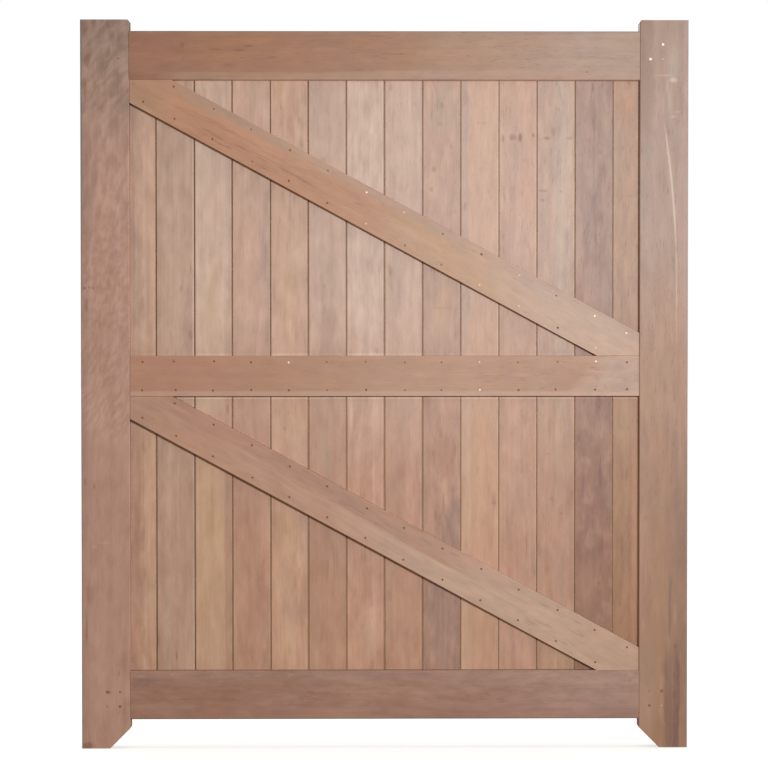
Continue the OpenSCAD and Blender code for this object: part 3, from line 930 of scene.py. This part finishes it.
def finish_ledge():
    wood = Timber("middle_ledge", (352, 168, 86), (360, 176, 92), seed=35, turn=LEVEL, figure=0.6)
    wood.tint((360, 164, 96), 0.75, wood.run(-0.98, -1.22))
    wood.tint((345, 172, 94), 0.6, wood.run(-0.62, -0.36))
    wood.tint((372, 192, 108), 0.7, wood.run(-0.86, -0.74), wood.run(-0.44, -0.56))
    torn = wood.stray(wood.world_x, wood.clouds, 0.12)
    wood.tint((405, 250, 175), 0.75, wood.remap(torn, -0.26, -0.205))
    wood.tint((445, 268, 188), 0.6, wood.edge(0.68, 0.84))
    wood.deepen(0.06, wood.run(-0.33, -0.22), wood.blisters(0.03, 0.06, 0.9))
    mark_frame(wood)
    # Painted light on the top arris, which lifts its shade
    wood.deepen(-0.22, wood.edge(-0.955, -0.98))
    # Painted shade on the lower arris, which widens the shadow line under the ledge
    wood.deepen(0.22, wood.edge(0.97, 0.985))
    close_joints(wood)
    return wood.finish()


def brace_timber(owner, main, second, seed):
    turn = LEVEL - BRACE_ANGLE
    return Timber(owner, main, second, seed, turn=turn, width=LEDGE_WIDTH, figure=0.75)


def finish_upper_brace():
    wood = brace_timber("upper_brace", (394, 184, 90), (382, 173, 82), 36)
    wood.tint((360, 188, 104), 0.75, wood.run(-1.22, -1.34))
    wood.tint((402, 218, 112), 0.9, wood.run(-0.82, -0.62))
    wood.tint((420, 260, 172), 0.95, wood.run(-0.62, -0.3))
    torn = wood.remap(wood.stray(wood.split(wood.bent)[0], wood.mottle, 0.01), -0.012, -0.034)
    wood.tint((348, 206, 134), 0.8, torn, wood.run(-1.32, -1.18), wood.run(-0.35, -0.75))
    wood.tint((355, 215, 152), 0.55, wood.side(-0.35, -0.75), wood.run(-0.75, -0.4))
    streaky = wood.both(wood.run(-1.3, -1.18), wood.run(-0.8, -0.98), wood.edge(-0.5, -0.2))
    wood.flecks((120, 11), EMBER, 0.45, 0.61, streaky)
    wood.vein(-0.12, 0.006, 0.04, EMBER, 0.4, wood.run(-1.34, -1.24), wood.run(-0.85, -0.95))
    wood.vein(0.25, 0.006, 0.03, EMBER, 0.4, wood.run(-1.15, -1.05), wood.run(-0.72, -0.85))
    mark_frame(wood)
    # Painted light on the top arris, which lifts its shade
    wood.deepen(-0.16, wood.edge(-0.95, -0.98))
    # Painted shade on the lower arris towards the closing side, which widens the shadow line
    wood.deepen(0.45, wood.edge(0.955, 0.975), wood.run(-0.7, -1.1))
    # Painted light on the lower arris towards the hinges, which narrows the shadow line
    wood.deepen(-0.4, wood.edge(0.95, 0.97), wood.run(-0.7, -0.3))
    close_joints(wood)
    return wood.finish()


def finish_lower_brace():
    wood = brace_timber("lower_brace", (382, 194, 116), (392, 204, 124), 37)
    wood.tint((430, 266, 178), 0.95, wood.run(-0.98, -0.62))
    wood.tint((350, 192, 122), 0.6, wood.run(-1.26, -1.38))
    red_band = wood.both(wood.side(-0.06, -0.22), wood.run(-1.36, -1.24), wood.run(-0.4, -0.66))
    wood.tint((338, 164, 100), 0.8, red_band)
    wood.tint((405, 237, 152), 0.6, wood.run(-0.3, -0.2))
    veined = wood.both(wood.run(-1.16, -1.06), wood.run(-0.5, -0.62))
    wood.vein(-0.2, 0.006, 0.03, RUSSET, 0.4, veined)
    wood.vein(-0.55, 0.004, 0.034, RUSSET, 0.25, veined)
    wood.flecks((110, 20), (285, 130, 78), 0.5, 0.6, veined, wood.side(-0.08, -0.25))
    dashes = wood.both(wood.run(-0.45, -0.38), wood.run(-0.2, -0.27))
    wood.flecks((150, 34), (290, 160, 105), 0.35, 0.6, dashes)
    wood.flecks((200, 30), RUSSET, 0.22, 0.62, wood.side(0.0, -0.2), wood.run(-0.62, -0.82))
    mark_frame(wood)
    # Painted light on the top arris, which lifts its shade
    wood.deepen(-0.17, wood.edge(-0.95, -0.98))
    # Painted shade on the lower arris towards the closing side, which widens the shadow line
    wood.deepen(0.6, wood.edge(0.945, 0.97), wood.run(-0.4, -0.75))
    # Painted light on the lower arris towards the hinges, which narrows the shadow line
    wood.deepen(-0.4, wood.edge(0.955, 0.975), wood.run(-0.5, -0.3))
    close_joints(wood)
    return wood.finish()


# ---------------- pieces

ARRIS_ROUNDING = 0.0005
# Lines between faces that turn by less than this are taken out, and by more than that are rounded
FLAT_ANGLE = math.radians(1)
SHARP_ANGLE = math.radians(28)
SAME_PLACE = 1e-6


def add_piece(name, mesh, slot, *replaced):
    piece = in_scene(name, mesh)
    leaf_only.objects.link(piece)
    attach(piece, BODY)
    if replaced:
        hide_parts(*replaced)
    return piece


def round_arrises(piece):
    """Rounds the sharp lines of a piece a little, as planing and handling do."""
    dissolve = piece.modifiers.new("flat_faces", "DECIMATE")
    dissolve.decimate_type = "DISSOLVE"
    dissolve.angle_limit = FLAT_ANGLE
    bevel = piece.modifiers.new("rounded_arrises", "BEVEL")
    bevel.width = ARRIS_ROUNDING
    bevel.segments = 2
    bevel.limit_method = "ANGLE"
    bevel.angle_limit = SHARP_ANGLE


# ---------------- nails and pins

NAIL_RADIUS = 0.0026
NAIL_LENGTH = 0.003
NAIL_SINK = 0.0004
NAIL_PROUD = 0.0003
NAIL_INSET = 0.0155
NAIL_LIFT = 0.0035
NAIL_SCATTER = 0.003
CRATER_RADIUS = 0.0033
CRATER_FLOOR = 0.72
CRATER_DEPTH = 0.001
CRATER_REACH = 0.0004
ROUND_SIDES = 16
PIN_RADIUS = 0.004
PIN_COVER = 0.0004
PIN_DEPTH = 0.012
PLUG_SINK = 0.00004
HEAD_SINK = 0.00001
# Looks of the heads, in the order of their materials
BRIGHT, PALE_METAL, FAINT, DARK_METAL, PLUG = range(5)
DULL_TILT = (math.radians(16), math.radians(30))
OUTWARD = Vector((0, -1, 0))

SEAMS = [LEDGE_LOW.x] + [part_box(name)[0].x for name in BOARDS[1:]] + [LEDGE_HIGH.x]
BOARD_MIDDLES = [(a + b) / 2 for a, b in zip(SEAMS, SEAMS[1:])]

# One letter a nail, from the closing side: b bright, p pale, f faint, d dark and punched in
NAIL_LOOKS = {"b": BRIGHT, "p": PALE_METAL, "f": FAINT, "d": DARK_METAL}
LEDGE_UPPER_NAILS = "ddddbffffpffbd"
LEDGE_LOWER_NAILS = "dddddfdffbdddd"
UPPER_BRACE_UPPER_NAILS = "dffdfbpfdpfbb"
UPPER_BRACE_LOWER_NAILS = "dddfddpffppdp"
LOWER_BRACE_NAILS = "ddddddddddddd"

# Look of the pins of each corner and radius of their heads in mm: inner upper, inner lower, outer
# upper, outer lower; a plug covers every pin, and shows alone where the look is the plug's
PIN_LOOKS = {
    "pins_top_hanging": [(PLUG, 0), (BRIGHT, 3.1), (BRIGHT, 2.9), (PALE_METAL, 1.5)],
    "pins_bottom_hanging": [(DARK_METAL, 1.8), (DARK_METAL, 3.8), (DARK_METAL, 4.2), (PALE_METAL, 1.4)],
    "pins_top_closing": [(PLUG, 0), (DARK_METAL, 2.2), (PLUG, 0), (PLUG, 0)],
    "pins_bottom_closing": [(DARK_METAL, 2.6), (DARK_METAL, 3.6), (DARK_METAL, 4.3), (FAINT, 2.0)],
}


def tilted_normal(rng):
    """A head that was driven askew, so that it looks away from the light."""
    tilt = rng.uniform(*DULL_TILT)
    around = rng.uniform(math.pi, 2 * math.pi)
    return Vector((math.sin(tilt) * math.cos(around), -math.cos(tilt), math.sin(tilt) * math.sin(around)))


def add_head(bm, place, normal, radius, length, finish, dome=1.0):
    """A round head, slightly domed, with a short shank behind it."""
    matrix = Matrix.Translation(place) @ normal.to_track_quat("Z", "Y").to_matrix().to_4x4()
    profile = [(0.5 * radius, -0.01 * dome * radius), (0.84 * radius, -0.04 * dome * radius),
               (radius, -0.14 * dome * radius), (radius, -length)]
    rings = []
    for ring_radius, height in profile:
        ring = []
        for step in range(ROUND_SIDES):
            angle = 2 * math.pi * step / ROUND_SIDES
            point = Vector((ring_radius * math.cos(angle), ring_radius * math.sin(angle), height))
            ring.append(bm.verts.new(matrix @ point))
        rings.append(ring)
    top = bm.verts.new(matrix @ Vector((0, 0, 0)))
    base = bm.verts.new(matrix @ Vector((0, 0, -length)))
    for i in range(ROUND_SIDES):
        j = (i + 1) % ROUND_SIDES
        faces = [(rings[0][i], rings[0][j], top), (rings[-1][j], rings[-1][i], base)]
        for upper, lower in zip(rings, rings[1:]):
            faces.append((lower[i], lower[j], upper[j], upper[i]))
        for corners in faces:
            bm.faces.new(corners).material_index = finish


def add_crater(bm, place):
    """A cone that cuts the dimple left by a nail punch."""
    matrix = Matrix.Translation(place) @ Matrix.Rotation(math.pi / 2, 4, "X")
    matrix = matrix @ Matrix.Translation((0, 0, (CRATER_REACH - CRATER_DEPTH) / 2))
    bmesh.ops.create_cone(bm, cap_ends=True, segments=ROUND_SIDES, radius1=CRATER_FLOOR * CRATER_RADIUS,
                          radius2=CRATER_RADIUS, depth=CRATER_DEPTH + CRATER_REACH, matrix=matrix)


def to_mesh(bm, name, materials=()):
    mesh = bpy.data.meshes.new(name)
    bmesh.ops.recalc_face_normals(bm, faces=bm.faces)
    bm.to_mesh(mesh)
    bm.free()
    for material in materials:
        mesh.materials.append(material)
    return mesh


def punched(node, row, material, slot):
    """A copy of a CAD piece with a crater at each punched nail."""
    cutters = bmesh.new()
    for place, finish in row:
        if finish == DARK_METAL:
            add_crater(cutters, place)
    cutter = in_scene("craters", to_mesh(cutters, "craters"))

    whole = bmesh.new()
    whole.from_mesh(NODES[node].data)
    bmesh.ops.remove_doubles(whole, verts=whole.verts, dist=SAME_PLACE)
    bmesh.ops.dissolve_limit(whole, angle_limit=FLAT_ANGLE, verts=whole.verts, edges=whole.edges)
    work = in_scene("work", to_mesh(whole, "work"))
    cut = work.modifiers.new("craters", "BOOLEAN")
    cut.object = cutter
    cut.operation = "DIFFERENCE"
    cut.solver = "EXACT"
    result = work.evaluated_get(bpy.context.evaluated_depsgraph_get())
    mesh = bpy.data.meshes.new_from_object(result)
    for spare in (work, cutter):
        bpy.data.objects.remove(spare)
    mesh.materials.clear()
    mesh.materials.append(material)
    round_arrises(add_piece(node + "_nailed", mesh, slot, node))


def nail_row(face, looks, first, height_at, rng):
    """Places and looks of the nails of one row, one at the middle of each board from the first on."""
    row = []
    for number, look in enumerate(looks, first):
        x = BOARD_MIDDLES[number - 1] + rng.uniform(-NAIL_SCATTER, NAIL_SCATTER)
        z = height_at(x) + rng.uniform(-0.5, 0.5) * NAIL_SCATTER
        row.append((Vector((x, face, z)), NAIL_LOOKS[look]))
    return row


def nail_heads(name, row, materials, rng):
    bm = bmesh.new()
    for place, finish in row:
        punched_in = finish == DARK_METAL
        lift = -NAIL_SINK if punched_in else NAIL_PROUD
        normal = tilted_normal(rng) if punched_in else OUTWARD
        add_head(bm, place + lift * OUTWARD, normal, NAIL_RADIUS, NAIL_LENGTH, finish)
    add_piece(name, to_mesh(bm, name, materials), "fixing_metal")


def nail_ledge(wood, metals):
    rng = random.Random(71)
    face = LEDGE_LOW.y
    row = nail_row(face, LEDGE_UPPER_NAILS, 1, lambda x: LEDGE_HIGH.z - NAIL_INSET, rng)
    row += nail_row(face, LEDGE_LOWER_NAILS, 1, lambda x: LEDGE_LOW.z + NAIL_INSET, rng)
    punched("middle_ledge", row, wood, "ledge_wood")
    nail_heads("ledge_nails", row, metals, rng)


def nail_brace(node, wood, metals, upper_looks, lower_looks, seed):
    rng = random.Random(seed)
    centre = middle(node)
    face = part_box(node)[0].y
    set_in = (LEDGE_WIDTH / 2 - NAIL_INSET) / math.cos(BRACE_ANGLE)

    def row_height(side):
        def height(x):
            lift = NAIL_LIFT * max(0.0, (centre.x - x) / (centre.x - LEDGE_LOW.x))
            return centre.z - (x - centre.x) * math.tan(BRACE_ANGLE) + side * set_in + lift
        return height

    row = nail_row(face, upper_looks, 2, row_height(1), rng)
    row += nail_row(face, lower_looks, 1, row_height(-1), rng)
    punched(node, row, wood, "brace_wood")
    nail_heads(node + "_nails", row, metals, rng)


def finish_pins(node, materials):
    """The pins of one corner, cut off flush; the plugs are of the stile's own timber."""
    low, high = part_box(node)
    columns = [low.x + PIN_RADIUS, high.x - PIN_RADIUS]
    if "closing" in node:
        columns.reverse()
    rows = [high.z - PIN_RADIUS, low.z + PIN_RADIUS]
    places = [(x, z) for x in columns for z in rows]
    bm = bmesh.new()
    for (x, z), (finish, radius) in zip(places, PIN_LOOKS[node]):
        plug = Vector((x, LOW.y + PLUG_SINK, z))
        add_head(bm, plug, OUTWARD, PIN_RADIUS + PIN_COVER, PIN_DEPTH, PLUG, dome=0.0)
        if radius:
            head = Vector((x, LOW.y + HEAD_SINK, z))
            add_head(bm, head, OUTWARD, radius / 1000, PIN_DEPTH / 2, finish, dome=0.0)
    add_piece(node.replace("pins", "pin_heads"), to_mesh(bm, node, materials), "fixing_metal", node)


# ---------------- metal

RUST_CELLS = (900, 900, 900)
METAL_ROUGHER = 0.12
METAL_RELIEF = 0.0001
METAL_RELIEF_STRENGTH = 0.5
# Tone, tone of the specks, metallic, roughness
METALS = {
    "bright_metal": ((800, 530, 430), (660, 430, 340), 0.3, 0.42),
    "pale_metal": ((660, 450, 350), (540, 350, 260), 0.15, 0.5),
    "faint_metal": ((240, 112, 66), (205, 92, 52), 0.1, 0.55),
    "dark_metal": ((225, 93, 46), (180, 72, 36), 0.1, 0.55),
}


def metal(name, colour, speck, metallic, roughness):
    """Nail metal with specks of rust or dust."""
    graph = Graph(name)
    place = graph.node("TexCoord", {}).outputs["Object"]
    patches = graph.noise(graph.vector("MULTIPLY", place, RUST_CELLS), 2)
    specked = graph.mix(graph.remap(patches, 0.45, 0.65), opaque(colour), opaque(speck))
    rougher = graph.remap(patches, 0.3, 0.7, roughness, roughness + METAL_ROUGHER)
    graph.shader.inputs["Metallic"].default_value = metallic
    graph.close(specked, rougher, patches, METAL_RELIEF, METAL_RELIEF_STRENGTH)
    return graph.material


# ---------------- the leaf

for number, name in enumerate(BOARDS, 1):
    finish_board(number, name)
hanging_wood = finish_hanging_stile()
closing_wood = finish_closing_stile()
finish_top_rail()
finish_bottom_rail()
metals = [metal(name, *looks) for name, looks in METALS.items()]
nail_ledge(finish_ledge(), metals)
upper_wood = finish_upper_brace()
nail_brace("upper_brace", upper_wood, metals, UPPER_BRACE_UPPER_NAILS, UPPER_BRACE_LOWER_NAILS, 72)
nail_brace("lower_brace", finish_lower_brace(), metals, LOWER_BRACE_NAILS, LOWER_BRACE_NAILS, 73)
for corner in PIN_LOOKS:
    finish_pins(corner, metals + [hanging_wood if "hanging" in corner else closing_wood])

for node in NODES.values():
    leaf_only.objects.link(node)
for name in BOARDS + ["hanging_stile", "closing_stile", "top_rail", "bottom_rail"]:
    round_arrises(NODES[name])
